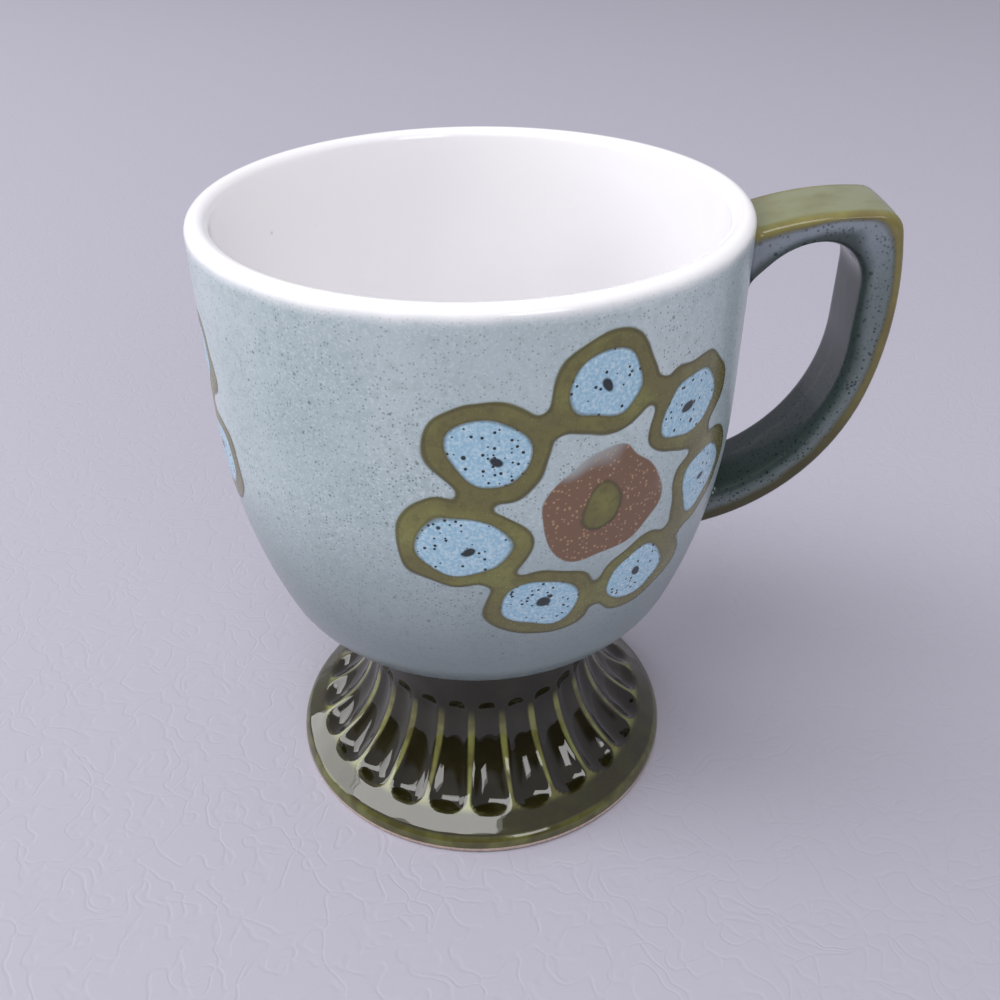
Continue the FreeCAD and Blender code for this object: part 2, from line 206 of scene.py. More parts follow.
class FlowerSizes(bpy.types.PropertyGroup):
    """The painted flowers round the bowl, in a plain generic design."""
    count: bpy.props.IntProperty(name="Flowers", description="Flowers round the bowl", default=3, min=1)
    turn: turn("Turn", -64.0, "Where the first flower faces, from the handle")
    height: length("Height", 82.3, "Height of a flower's middle over the table")
    middle: length("Middle", 9.4, "Radius of the brown middle")
    eye: length("Eye", 3.4, "Radius of the olive eye on the middle")
    stretch: share("Stretch", 1.13, "How much wider than high a flower is")
    petals: bpy.props.IntProperty(name="Petals", description="Petals on a flower", default=7, min=3)
    petal_reach: length("Petal reach", 19.6, "From a flower's middle to a petal's")
    petal_length: length("Petal length", 5.6, "Half of a petal's length")
    petal_width: length("Petal width", 5.4, "Half of a petal's width")
    band: length("Band", 2.5, "Width of the olive band round each petal")
    wreath: length("Wreath", 2.6, "Half of the width of the olive ring that joins the petals")


class StageSettings(bpy.types.PropertyGroup):
    """The floor, the camera and the lamps."""
    floor: colour("Floor", (168, 165, 178), "The plain pale floor")
    room_light: share("Room light", 0.54, "Strength of the even light from all round")
    dark_height: share("Dark height", 0.45, "Height, as a sine, up to which the room in front is dark")
    camera_place: bpy.props.FloatVectorProperty(
        name="Camera", description="Place of the camera", size=3, unit="LENGTH",
        default=(5.49 * MM, -165.33 * MM, 167.02 * MM))
    camera_pitch: turn("Pitch", 33.92, "How far the camera looks down")
    camera_yaw: turn("Yaw", -0.41, "How far the camera looks to the right")
    camera_roll: turn("Roll", 0.40, "How far the camera leans")
    lens: bpy.props.FloatProperty(name="Lens", description="Focal length in millimetres", default=37.06)


SIZE_GROUPS = {
    "mug_bowl": BowlSizes,
    "mug_foot": FootSizes,
    "mug_flutes": FluteSizes,
    "mug_handle": HandleSizes,
    "mug_glaze": GlazeColours,
    "mug_flower": FlowerSizes,
    "mug_stage": StageSettings,
}


def arc_points(centre, radius, start, end, steps):
    """Points along an arc, angles in radians, without the arc's first point."""
    x, z = centre
    turns = [start + (end - start) * step / steps for step in range(1, steps + 1)]
    return [(x + radius * math.cos(a), z + radius * math.sin(a)) for a in turns]


def line_points(start, end, steps):
    """Points along a straight line, without the line's first point."""
    return [(start[0] + (end[0] - start[0]) * step / steps, start[1] + (end[1] - start[1]) * step / steps)
            for step in range(1, steps + 1)]


class Form:
    """Key places of the turned body, worked out upwards from the table, as (radius, height)."""

    def __init__(self, bowl, foot):
        self.bowl = bowl
        self.foot = foot
        self.flare_x = foot.neck_radius + foot.flare_radius
        self.brim_x = self.flare_x - foot.flare_radius * math.cos(foot.flare_turn)
        self.round_x = foot.radius - foot.brim_rounding
        self.touch = (self.round_x + foot.brim_rounding * math.cos(foot.flare_turn),
                      foot.edge_height + foot.brim_rounding * math.sin(foot.flare_turn))
        self.brim_z = self.touch[1] + (self.touch[0] - self.brim_x) / math.tan(foot.flare_turn)
        self.flare_z = self.brim_z + foot.flare_radius * math.sin(foot.flare_turn)
        self.underside = self.flare_z + foot.neck_length
        rest = bowl.side_curve - bowl.shoulder_radius
        self.side_x = bowl.radius - bowl.side_curve
        self.shoulder = (self.side_x + rest * math.cos(bowl.side_turn),
                         self.underside + bowl.shoulder_radius)
        self.bend_z = self.shoulder[1] + rest * math.sin(bowl.side_turn)

    def lining(self):
        """The inside of the bowl, from the middle of its floor to the lip."""
        bowl = self.bowl
        floor = self.underside + bowl.wall
        inner = bowl.radius - bowl.wall
        lip_start = bowl.height - bowl.lip_rounding
        points = [(0.0, floor)]
        points += line_points(points[-1], (self.shoulder[0], floor), 8)
        points += arc_points(self.shoulder, bowl.shoulder_radius - bowl.wall, -QUARTER_TURN,
                             -bowl.side_turn, 10)
        points += arc_points((self.side_x, self.bend_z), bowl.side_curve - bowl.wall, -bowl.side_turn,
                             0.0, 10)
        points += line_points(points[-1], (inner, lip_start), 4)
        points += arc_points((inner + bowl.lip_rounding, lip_start), bowl.lip_rounding, HALF_TURN,
                             QUARTER_TURN, 8)
        return points

    def outside(self):
        """The bowl's outside, from the lip to where the foot's glaze starts."""
        bowl = self.bowl
        lip_start = bowl.height - bowl.lip_rounding
        points = line_points((bowl.radius - bowl.wall + bowl.lip_rounding, bowl.height),
                             (bowl.radius - bowl.lip_rounding, bowl.height), 1)
        points += arc_points((bowl.radius - bowl.lip_rounding, lip_start), bowl.lip_rounding,
                             QUARTER_TURN, 0.0, 8)
        points += line_points(points[-1], (bowl.radius, self.bend_z), 12)
        points += arc_points((self.side_x, self.bend_z), bowl.side_curve, 0.0, -bowl.side_turn, 16)
        points += arc_points(self.shoulder, bowl.shoulder_radius, -bowl.side_turn, -BOWL_GLAZE_END, 7)
        return points

    def outer_foot(self):
        """The glazed outside of the foot, from under the bowl to the upright edge."""
        foot = self.foot
        bowl = self.bowl
        fillet = foot.neck_fillet
        flare = (self.flare_x, self.flare_z)
        points = arc_points(self.shoulder, bowl.shoulder_radius, -BOWL_GLAZE_END, -QUARTER_TURN, 7)
        points += arc_points((foot.neck_radius + fillet, self.underside - fillet), fillet, QUARTER_TURN,
                             HALF_TURN, 6)
        points += line_points(points[-1], (foot.neck_radius, self.flare_z), 8)
        points += arc_points(flare, foot.flare_radius, -HALF_TURN, -HALF_TURN + foot.flare_turn, 44)
        points += line_points(points[-1], self.touch, 10)
        points += arc_points((self.round_x, foot.edge_height), foot.brim_rounding, foot.flare_turn, 0.0, 6)
        return points

    def underneath(self):
        """The bare edge and ring, then the hollow, up to the middle of its roof."""
        foot = self.foot
        edge = foot.edge_rounding
        ring_inside = foot.radius - edge - foot.ring_width
        stem = foot.neck_radius - foot.wall
        curve = foot.flare_radius + foot.wall
        flare = (self.flare_x, self.flare_z)
        roof = self.underside + self.bowl.wall - foot.roof
        points = line_points((foot.radius, foot.edge_height), (foot.radius, edge), 1)
        points += arc_points((foot.radius - edge, edge), edge, 0.0, -QUARTER_TURN, 4)
        points += line_points(points[-1], (ring_inside, 0.0), 3)
        bare = len(points)
        start = arc_points(flare, curve, -HALF_TURN, -HALF_TURN + foot.hollow_turn, 1)[-1]
        points += line_points(points[-1], start, 2)
        points += arc_points(flare, curve, -HALF_TURN + foot.hollow_turn, -HALF_TURN, 10)
        points += line_points(points[-1], (stem, roof - foot.hollow_rounding), 2)
        points += arc_points((stem - foot.hollow_rounding, roof - foot.hollow_rounding),
                             foot.hollow_rounding, 0.0, QUARTER_TURN, 6)
        points += line_points(points[-1], (0.0, roof), 3)
        return points, bare

    def side_radius(self, height):
        """Outside radius of the bowl at an array of heights."""
        bowl = self.bowl
        lip_start = bowl.height - bowl.lip_rounding
        over = np.clip(height - lip_start, 0.0, bowl.lip_rounding)
        straight = bowl.radius - bowl.lip_rounding + np.sqrt(bowl.lip_rounding ** 2 - over ** 2)
        below = np.clip(self.bend_z - height, 0.0, bowl.side_curve * math.sin(bowl.side_turn))
        curved = self.side_x + np.sqrt(bowl.side_curve ** 2 - below ** 2)
        return np.where(height > self.bend_z, straight, curved)


def clear_selection():
    """Leave no object selected or active."""
    bpy.ops.object.select_all(action="DESELECT")
    bpy.context.view_layer.objects.active = None


def coordinates(piece):
    """A piece's vertices as an array, one row each."""
    flat = np.empty(len(piece.data.vertices) * 3)
    piece.data.vertices.foreach_get("co", flat)
    return flat.reshape(-1, 3)


def move_vertices(piece, places):
    """Put a piece's vertices at the places in an array."""
    piece.data.vertices.foreach_set("co", places.astype(np.float32).ravel())
    piece.data.update()


def keep_values(piece, name, values):
    """Store one number for each vertex, for the glazes to read."""
    layer = piece.data.attributes.new(name, "FLOAT", "POINT")
    layer.data.foreach_set("value", values.astype(np.float32))


def weld_and_smooth(piece, reach, close_ends=False):
    """Merge doubles, close open ends if asked, turn the faces outwards and shade them smooth."""
    bpy.ops.object.mode_set(mode="EDIT")
    bpy.ops.mesh.select_all(action="SELECT")
    bpy.ops.mesh.remove_doubles(threshold=reach)
    if close_ends:
        bpy.ops.mesh.select_all(action="DESELECT")
        bpy.ops.mesh.select_non_manifold()
        bpy.ops.mesh.fill_holes(sides=0)
        bpy.ops.mesh.select_all(action="SELECT")
    bpy.ops.mesh.normals_make_consistent(inside=False)
    bpy.ops.object.mode_set(mode="OBJECT")
    bpy.ops.object.shade_smooth()


def draw_outline(name, points):
    """Extrude a vertex from point to point in the X-Z plane."""
    clear_selection()
    bpy.ops.mesh.primitive_plane_add(size=MM, location=(0.0, 0.0, 0.0))
    piece = bpy.context.active_object
    piece.name = name
    piece.data.name = name
    bpy.ops.object.mode_set(mode="EDIT")
    bpy.ops.mesh.select_all(action="SELECT")
    bpy.ops.mesh.merge(type="CENTER")
    bpy.ops.transform.translate(value=(points[0][0], 0.0, points[0][1]))
    for (x0, z0), (x1, z1) in zip(points, points[1:]):
        bpy.ops.mesh.extrude_region_move(TRANSFORM_OT_translate={"value": (x1 - x0, 0.0, z1 - z0)})
    return piece


def spin_outline(steps):
    """Spin the drawn outline all the way round the mug's axis."""
    bpy.ops.mesh.select_all(action="SELECT")
    bpy.ops.mesh.spin(steps=steps, angle=2 * HALF_TURN, center=(0.0, 0.0, 0.0), axis=(0.0, 0.0, 1.0))
    bpy.ops.object.mode_set(mode="OBJECT")


def smooth_step(values, low, high):
    """0 below low, 1 above high, and a smooth rise between them."""
    t = np.clip((values - low) / (high - low), 0.0, 1.0)
    return t * t * (3 - 2 * t)


def on_flare(form, places):
    """Whether each vertex lies on the flare or on the straight brim past it."""
    foot = form.foot
    radius = np.hypot(places[:, 0], places[:, 1])
    across = form.flare_x - radius
    under = form.flare_z - places[:, 2]
    turns = np.arctan2(under, across)
    on_arc = (np.abs(np.hypot(across, under) - foot.flare_radius) < ON_SURFACE) & (turns > -ON_TURN)
    off_line = np.abs((radius - form.brim_x) * math.cos(foot.flare_turn) +
                      (places[:, 2] - form.brim_z) * math.sin(foot.flare_turn))
    on_brim = (off_line < ON_SURFACE) & (radius > form.brim_x) & (radius < foot.radius)
    return (on_arc & (turns < foot.flare_turn + ON_TURN)) | on_brim


def flute_cut(form, flutes, places):
    """How deep each vertex sinks into its nearest flute, and the way it sinks in the radial plane."""
    foot = form.foot
    here = on_flare(form, places)
    radius = np.hypot(places[:, 0], places[:, 1])
    across = form.flare_x + flutes.out - radius
    under = form.flare_z + flutes.up - places[:, 2]
    turns = np.arctan2(under, across)
    reach = np.hypot(across, under)
    floor = foot.flare_radius + flutes.depth

    pitch = 2 * HALF_TURN / flutes.count
    azimuth = np.arctan2(places[:, 1], places[:, 0]) - flutes.phase
    aside = (azimuth + pitch / 2) % pitch - pitch / 2
    sideways = np.abs(radius * np.sin(aside))
    along = np.clip((turns - flutes.top_turn) / (flutes.foot_turn - flutes.top_turn), 0.0, 1.0)
    section = flutes.top_radius + (flutes.foot_radius - flutes.top_radius) * along

    def rise(distance, curve):
        """How far a circle has risen at a distance from its lowest point, and steeply on past its side."""
        inside = np.minimum(distance, STEEP_SHARE * curve)
        return curve - np.sqrt(curve ** 2 - inside ** 2) + STEEP_SLOPE * (distance - inside)

    before = np.maximum(flutes.top_turn - turns, 0.0) * floor
    after = np.maximum(turns - flutes.foot_turn, 0.0) * floor
    cut = floor - reach - rise(sideways, section)
    cut -= rise(before, flutes.top_round) + rise(after, flutes.foot_round)
    cut = np.where(here, cut, -1.0)
    soft = 0.5 * (cut + np.sqrt(cut ** 2 + flutes.softness ** 2))
    soft *= smooth_step(cut, FADE_BAND[0] * flutes.softness, FADE_BAND[1] * flutes.softness)
    return soft, cut, np.stack([np.cos(turns), np.sin(turns)], 1), here


def shape_flutes(piece, form, flutes):
    """Sink the flutes into the flare and keep how thick the glaze lies on each vertex."""
    places = coordinates(piece)
    depth, cut, way, here = flute_cut(form, flutes, places)
    radius = np.maximum(np.hypot(places[:, 0], places[:, 1]), 1e-9)
    outwards = places[:, :2] / radius[:, None]
    places[:, :2] -= outwards * (depth * way[:, 0])[:, None]
    places[:, 2] -= depth * way[:, 1]
    move_vertices(piece, places)
    pool = smooth_step(cut, -POOL_EDGE, 0.0)
    keep_values(piece, "pool", np.where(here, pool, 0.0))
    keep_values(piece, "fluted", here.astype(float))


def paint_zones(piece, outline, zone_ends):
    """Give each face the glaze of the stretch of outline that it was spun from."""
    count = len(piece.data.polygons)
    centres = np.empty(count * 3)
    piece.data.polygons.foreach_get("center", centres)
    centres = centres.reshape(-1, 3)
    middles = (np.array(outline[1:]) + np.array(outline[:-1])) / 2
    spun = np.stack([np.hypot(centres[:, 0], centres[:, 1]), centres[:, 2]], 1)
    stretch = np.empty(count, int)
    for start in range(0, count, FACES_AT_ONCE):
        end = start + FACES_AT_ONCE
        apart = spun[start:end, None, :] - middles[None, :, :]
        stretch[start:end] = np.argmin((apart ** 2).sum(2), 1)
    zones = np.searchsorted(np.array(zone_ends), stretch, side="right")
    piece.data.polygons.foreach_set("material_index", zones.astype(np.int32))
    piece.data.update()


class MUG_OT_body(bpy.types.Operator):
    """Turn the bowl and its foot in one piece, and sink the flutes"""
    bl_idname = "mug.body"
    bl_label = "Bowl and foot"

    def execute(self, context):
        scene = context.scene
        form = Form(scene.mug_bowl, scene.mug_foot)
        underneath, bare = form.underneath()
        stretches = [form.lining(), form.outside(), form.outer_foot(), underneath]
        outline = [point for stretch in stretches for point in stretch]
        lining = len(stretches[0]) - 1
        outside = lining + len(stretches[1])
        foot = outside + len(stretches[2])
        piece = draw_outline("mug_body", outline)
        spin_outline(steps=SPIN_STEPS_PER_FLUTE * scene.mug_flutes.count)
        weld_and_smooth(piece, BODY_WELD)
        for glaze in (lining_glaze, bowl_glaze, foot_glaze, bare_clay, foot_glaze):
            piece.data.materials.append(glaze(scene))
        paint_zones(piece, outline, (lining, outside, foot, foot + bare))
        shape_flutes(piece, form, scene.mug_flutes)
        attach(piece, "root")
        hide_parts("mug")
        return {"FINISHED"}


def resample(points, count):
    """Points evenly spaced along a polyline, both ends kept."""
    points = np.array(points)
    steps = np.hypot(*np.diff(points, axis=0).T)
    run = np.concatenate([[0.0], np.cumsum(steps)])
    wanted = np.linspace(0.0, run[-1], count)
    return np.stack([np.interp(wanted, run, points[:, 0]), np.interp(wanted, run, points[:, 1])], 1)


def strap_lines(form, handle):
    """The strap's outer and inner lines in the X-Z plane, as pairs of points from the top root down."""
    bowl = form.bowl
    corner = (bowl.radius + handle.corner_reach - handle.corner_radius,
              bowl.height - handle.crown_drop - handle.corner_radius)
    bow_z = bowl.height - handle.bow_drop
    bow_inside = handle.bow_radius - handle.corner_radius
    bow = (corner[0] - math.sqrt(bow_inside ** 2 - (corner[1] - bow_z) ** 2), bow_z)
    crown_inside = handle.crown_curve - handle.corner_radius
    crown = (corner[0] - handle.crown_lead,
             corner[1] - math.sqrt(crown_inside ** 2 - handle.crown_lead ** 2))
    low_reach = handle.bow_radius - handle.bow_foot_radius
    low = (bow[0] + low_reach * math.cos(handle.bow_foot_turn),
           bow[1] - low_reach * math.sin(handle.bow_foot_turn))
    crown_turn = math.atan2(corner[1] - crown[1], corner[0] - crown[0])
    bow_turn = math.atan2(corner[1] - bow[1], corner[0] - bow[0])

    inside = bowl.radius - bowl.wall - STRAP_START
    end = bowl.radius - bowl.wall - STRAP_END
    bar_start = math.acos((inside - crown[0]) / handle.crown_curve)
    bar = arc_points(crown, handle.crown_curve, bar_start, crown_turn, 60)
    bend = arc_points(corner, handle.corner_radius, crown_turn, bow_turn, 24)
    long_side = arc_points(bow, handle.bow_radius, bow_turn, -handle.bow_foot_turn, 60)
    low_end = -math.acos(min(1.0, (end - low[0]) / handle.bow_foot_radius))
    long_side += arc_points(low, handle.bow_foot_radius, -handle.bow_foot_turn, low_end, 60)

    face = bowl.radius + handle.gap_reach
    top = (face - handle.gap_far_radius, bowl.height - handle.gap_drop)
    far = (top[0], top[1] - handle.gap_far_radius)
    near = (top[0], top[1] - handle.gap_near_radius)
    gap_bow = (face - handle.gap_bow_radius, bowl.height - handle.gap_bow_drop)
    near_turn = QUARTER_TURN + handle.gap_near_turn
    near_end = arc_points(near, handle.gap_near_radius, QUARTER_TURN, near_turn, 1)[0]
    slope_end = (inside, near_end[1] - (near_end[0] - inside) * math.tan(handle.gap_near_turn))
    under_bar = line_points(slope_end, near_end, 20)
    under_bar += arc_points(near, handle.gap_near_radius, near_turn, QUARTER_TURN, 40)
    under_bend = arc_points(far, handle.gap_far_radius, QUARTER_TURN, 0.0, 24)
    gap_end = -math.acos((end - gap_bow[0]) / handle.gap_bow_radius)
    gap_side = line_points((face, far[1]), (face, gap_bow[1]), 10)
    gap_side += arc_points(gap_bow, handle.gap_bow_radius, 0.0, gap_end, 60)
    outer = map(resample, (bar, bend, long_side), STRAP_STATIONS)
    inner = map(resample, (under_bar, under_bend, gap_side), STRAP_STATIONS)
    return np.concatenate(list(outer)), np.concatenate(list(inner))


def strap_section(handle, thickness):
    """One section as (depth, side, girth) rows: depth from the outer face, side from the middle."""
    half = handle.width / 2
    outer = handle.outer_rounding
    inner = handle.inner_rounding
    side = thickness - outer - inner
    outer_turns = [QUARTER_TURN * step / 6 for step in range(6)]
    inner_turns = [QUARTER_TURN * step / 7 for step in range(7)]
    rows = [(0.0, (half - outer) * step / 8) for step in range(8)]
    rows += [(outer - outer * math.cos(a), half - outer + outer * math.sin(a)) for a in outer_turns]
    rows += [(outer + side * step / 6, half) for step in range(6)]
    rows += [(thickness - inner + inner * math.sin(a), half - inner + inner * math.cos(a))
             for a in inner_turns]
    rows += [(thickness, (half - inner) * (1 - step / 8)) for step in range(9)]
    depth, y = np.array(rows).T
    steps = np.hypot(np.diff(depth), np.diff(y))
    girth = np.concatenate([[0.0], np.cumsum(steps)]) - (half - outer)
    bulge = handle.crowning * (1 - (y / half) ** 2)
    side_bulge = handle.crowning * np.sin(HALF_TURN * np.clip(depth / thickness, 0, 1))
    depth = depth - np.where(depth < thickness / 2, bulge, -bulge)
    y = y + side_bulge * (y / half) ** 4
    mirrored = slice(-2, 0, -1)
    return (np.concatenate([depth, depth[mirrored]]), np.concatenate([y, -y[mirrored]]),
            np.concatenate([girth, girth[mirrored]]))


def strap_rails(form, handle):
    """The strap's surface as rails: arrays of (rail, station, xyz) and of girth and inner edge distance."""
    outer, inner = strap_lines(form, handle)
    rails = []
    girths = []
    edges = []
    for out_point, in_point in zip(outer, inner):
        thickness = math.hypot(*(in_point - out_point))
        way = (in_point - out_point) / thickness
        depth, y, girth = strap_section(handle, thickness)
        rails.append(np.stack([out_point[0] + way[0] * depth, y, out_point[1] + way[1] * depth], 1))
        girths.append(girth)
        edges.append(girth - thickness)
    return np.stack(rails, 1), np.stack(girths, 1), np.stack(edges, 1)


def crossing(form, rail, order):
    """Where a rail leaves the bowl's wall, searched in the given order: station number and share."""
    gap = np.hypot(rail[:, 0], rail[:, 1]) - form.side_radius(rail[:, 2])
    for here, there in zip(order, order[1:]):
        if gap[here] <= 0.0 < gap[there]:
            return here + (there - here) * gap[here] / (gap[here] - gap[there])
    raise RuntimeError("a rail of the strap never meets the bowl")


def wall_normal(form, place):
    """The bowl's outward normal at a place on its side."""
    radius = math.hypot(place[0], place[1])
    low, high = form.side_radius(np.array([place[2] - NEARBY, place[2] + NEARBY]))
    lean = (high - low) / (2 * NEARBY)
    normal = np.array([place[0] / radius, place[1] / radius, -lean])
    return normal / np.linalg.norm(normal)


def on_wall(form, place):
    """A place moved level on to the bowl's side."""
    radius = math.hypot(place[0], place[1])
    reach = float(form.side_radius(np.array([place[2]]))[0])
    return np.array([place[0] * reach / radius, place[1] * reach / radius, place[2]])


def cut_rail(form, handle, rail, values, outward, count):
    """A rail from root to root, each end flared out on to the bowl, with its values."""
    stations = np.arange(len(rail))
    first = crossing(form, rail, list(stations))
    last = crossing(form, rail, list(stations[::-1]))
    steps = np.linalg.norm(np.diff(rail, axis=0), axis=1)
    run = np.concatenate([[0.0], np.cumsum(steps)])
    ends = np.interp([first, last], stations, run)
    fillet = handle.root_fillet

    def at(distance):
        """The rail's place at a distance along it."""
        return np.array([np.interp(distance, run, rail[:, axis]) for axis in range(3)])

    def value_at(distance):
        """The values carried by the rail at a distance along it."""
        return [np.interp(distance, run, column) for column in values]

    middle = np.linspace(ends[0] + fillet, ends[1] - fillet, count)
    body = [at(distance) for distance in middle]
    carried = [value_at(distance) for distance in middle]
    roots = []
    for end, inwards in ((ends[0], 1), (ends[1], -1)):
        meet = at(end)
        normal = wall_normal(form, meet)
        station = int(round(np.interp(end, run, stations)))
        spread = outward[station] - (outward[station] @ normal) * normal
        spread /= np.linalg.norm(spread)
        start = at(end + inwards * fillet)
        target = on_wall(form, meet + spread * fillet)
        flare = [(1 - t) ** 2 * start + 2 * t * (1 - t) * meet + t * t * target
                 for t in np.linspace(0, 1, FLARE_STEPS)[1:]]
        target_normal = wall_normal(form, target)
        flare += [target + out * spread - deep * target_normal for out, deep in ROOT_TUCKS]
        roots.append((flare, [value_at(end)] * len(flare)))
    places = roots[0][0][::-1] + body + roots[1][0]
    kept = roots[0][1][::-1] + carried + roots[1][1]
    return np.array(places), np.array(kept)


def outward_ways(rails):
    """The strap's outward direction at each place of its rails."""
    across = np.roll(rails, -1, axis=0) - np.roll(rails, 1, axis=0)
    ways = np.cross(across, np.gradient(rails, axis=1))
    ways /= np.linalg.norm(ways, axis=2)[:, :, None]
    inwards = ((rails - rails.mean(axis=0)) * ways).sum() < 0
    return -ways if inwards else ways


class MUG_OT_handle(bpy.types.Operator):
    """Pull the strap handle and flare its two roots on to the bowl"""
    bl_idname = "mug.handle"
    bl_label = "Strap handle"

    def execute(self, context):
        scene = context.scene
        handle = scene.mug_handle
        form = Form(scene.mug_bowl, scene.mug_foot)
        rails, girths, edges = strap_rails(form, handle)
        stations = np.broadcast_to(np.linspace(0.0, 1.0, rails.shape[1]), girths.shape)
        made = [cut_rail(form, handle, rail, (girth, edge, station), ways, STRAP_RINGS)
                for rail, girth, edge, station, ways in zip(rails, girths, edges, stations,
                                                            outward_ways(rails))]
        places = np.stack([place for place, _ in made])
        values = np.stack([value for _, value in made])
        sides, rings = places.shape[:2]
        clear_selection()
        bpy.ops.mesh.primitive_grid_add(x_subdivisions=rings - 1, y_subdivisions=sides, size=2.0)
        piece = context.active_object
        piece.name = "mug_handle"
        piece.data.name = "mug_handle"
        # The grid is wrapped round: its first and last rows lie on the same rail.
        flat = coordinates(piece)
        ring = np.rint((flat[:, 0] + 1) / 2 * (rings - 1)).astype(int)
        side = np.rint((flat[:, 1] + 1) / 2 * sides).astype(int) % sides
        move_vertices(piece, places[side, ring])
        for column, name in enumerate(("girth", "inner_edge", "run")):
            keep_values(piece, name, values[side, ring, column])
        weld_and_smooth(piece, STRAP_WELD, close_ends=True)
        piece.data.materials.append(strap_glaze(scene))
        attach(piece, "root")
        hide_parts("mug")
        return {"FINISHED"}


def scaled(shown, *shares):
    """A colour times one share, or each of its three parts times its own."""
    return tuple(part * share for part, share in zip(shown, shares if len(shares) == 3 else shares * 3))


def arithmetic(operation, reflected=False):
    """A method that puts a flow and another value through a Math node, the other first if reflected."""
    def method(flow, other):
        values = (other, flow) if reflected else (flow, other)
        return flow.paint.node("ShaderNodeMath", {"operation": operation}, dict(enumerate(values)))
    return method


class Flow:
    """A node socket that ordinary arithmetic extends with more nodes."""

    __add__ = arithmetic("ADD")
    __sub__ = arithmetic("SUBTRACT")
    __mul__ = arithmetic("MULTIPLY")
    __truediv__ = arithmetic("DIVIDE")
    __pow__ = arithmetic("POWER")
    __radd__ = arithmetic("ADD", reflected=True)
    __rsub__ = arithmetic("SUBTRACT", reflected=True)
    __rmul__ = arithmetic("MULTIPLY", reflected=True)
    __rtruediv__ = arithmetic("DIVIDE", reflected=True)
    __rpow__ = arithmetic("POWER", reflected=True)

    def __init__(self, paint, socket):
        self.paint = paint
        self.socket = socket

    def math(self, operation, *values):
        """This value put through a Math node, with the other values after it."""
        return self.paint.node("ShaderNodeMath", {"operation": operation}, dict(enumerate((self, *values))))

    def __abs__(self):
        return self.math("ABSOLUTE")

    def least(self, other):
        """The smaller of the two."""
        return self.math("MINIMUM", other)

    def most(self, other):
        """The larger of the two."""
        return self.math("MAXIMUM", other)

    def step(self, low, high):
        """0 below low, 1 above high, smooth between; low may be over high for a fall."""
        return self.paint.node("ShaderNodeMapRange", {"interpolation_type": "SMOOTHSTEP"},
                               {"Value": self, "From Min": low, "From Max": high})


class Paint:
    """The node tree of a material or of the world, built from plain values and flows."""

    def __init__(self, owner):
        self.owner = owner
        owner.use_nodes = True
        self.tree = owner.node_tree
        self.tree.nodes.clear()

    def node(self, kind, settings=None, inputs=None, output=0):
        """Add a node, set it up, feed its sockets and give one of its outputs."""
        made = self.tree.nodes.new(kind)
        for name, value in (settings or {}).items():
            setattr(made, name, value)
        for name, value in (inputs or {}).items():
            socket = made.inputs[name]
            if isinstance(value, Flow):
                self.tree.links.new(value.socket, socket)
            else:
                socket.default_value = (*value, 1.0) if socket.type == "RGBA" else value
        return Flow(self, made.outputs[output]) if made.outputs else None

    def split(self, flow):
        """The three parts of a vector or colour."""
        made = self.node("ShaderNodeSeparateXYZ", None, {0: flow}).socket.node
        return [Flow(self, socket) for socket in made.outputs]

    def place(self):
        """The place on the piece, in metres."""
        return self.node("ShaderNodeTexCoord", output="Object")

    def value(self, name):
        """A number that the mesh carries."""
        return self.node("ShaderNodeAttribute", {"attribute_name": name}, output="Fac")

    def mix(self, mask, first, second):
        """The first colour where the mask is 0 and the second where it is 1."""
        return self.node("ShaderNodeMix", {"data_type": "RGBA", "clamp_factor": True},
                         {0: mask, 6: first, 7: second}, output=2)

    def noise(self, place, scale, detail=2.0, roughness=0.5, output="Fac"):
        """Smooth noise with features of about 1 / scale metres."""
        return self.node("ShaderNodeTexNoise", {"noise_dimensions": "3D"},
                         {"Vector": place, "Scale": scale, "Detail": detail, "Roughness": roughness},
                         output=output)

    def dots(self, place, scale, size, keep):
        """Round dots of varied size about 1 / scale metres apart; keep is the share that is there."""
        distance = self.node("ShaderNodeTexVoronoi", None, {"Vector": place, "Scale": scale},
                             output="Distance")
        chance = self.split(Flow(self, distance.socket.node.outputs["Color"]))[0]
        reach = size * chance.step(1.0 - keep, 1.0 - 0.3 * keep)
        return (distance - reach).step(0.06, -0.02)

    def bump(self, height, distance, strength=1.0):
        """Relief: heights of 1 stand out by the distance, in metres."""
        return self.node("ShaderNodeBump", None,
                         {"Height": height, "Distance": distance, "Strength": strength})

    def finish(self, base, roughness, normal, **others):
        """Close the tree with one glossy shader; an underscore stands for a space in a socket's name."""
        inputs = {"Base Color": base, "Roughness": roughness, "Normal": normal}
        inputs.update({name.replace("_", " "): value for name, value in others.items()})
        shader = self.node("ShaderNodeBsdfPrincipled", None, inputs, output="BSDF")
        self.node("ShaderNodeOutputMaterial", None, {"Surface": shader})
        return self.owner


def kept_material(name, build):
    """The material of that name, built when it is first asked for."""
    return bpy.data.materials.get(name) or build(Paint(bpy.data.materials.new(name)))


def lining_glaze(scene):
    """The glossy white of the lining and the lip."""
    glaze = scene.mug_glaze

    def build(paint):
        place = paint.place()
        cloud = paint.noise(place, 22.0, detail=1.0)
        base = paint.mix(cloud.step(0.35, 0.7), glaze.white, scaled(glaze.white, 0.955, 0.955, 0.975))
        base = paint.mix(paint.dots(place, 95.0, 0.05, 0.05), base, glaze.speckle)
        normal = paint.bump(paint.noise(place, 120.0), 0.06 * MM, strength=0.5)
        return paint.finish(base, 0.1, normal, Coat_Weight=0.3, Coat_Roughness=0.04)
    return kept_material("white lining", build)


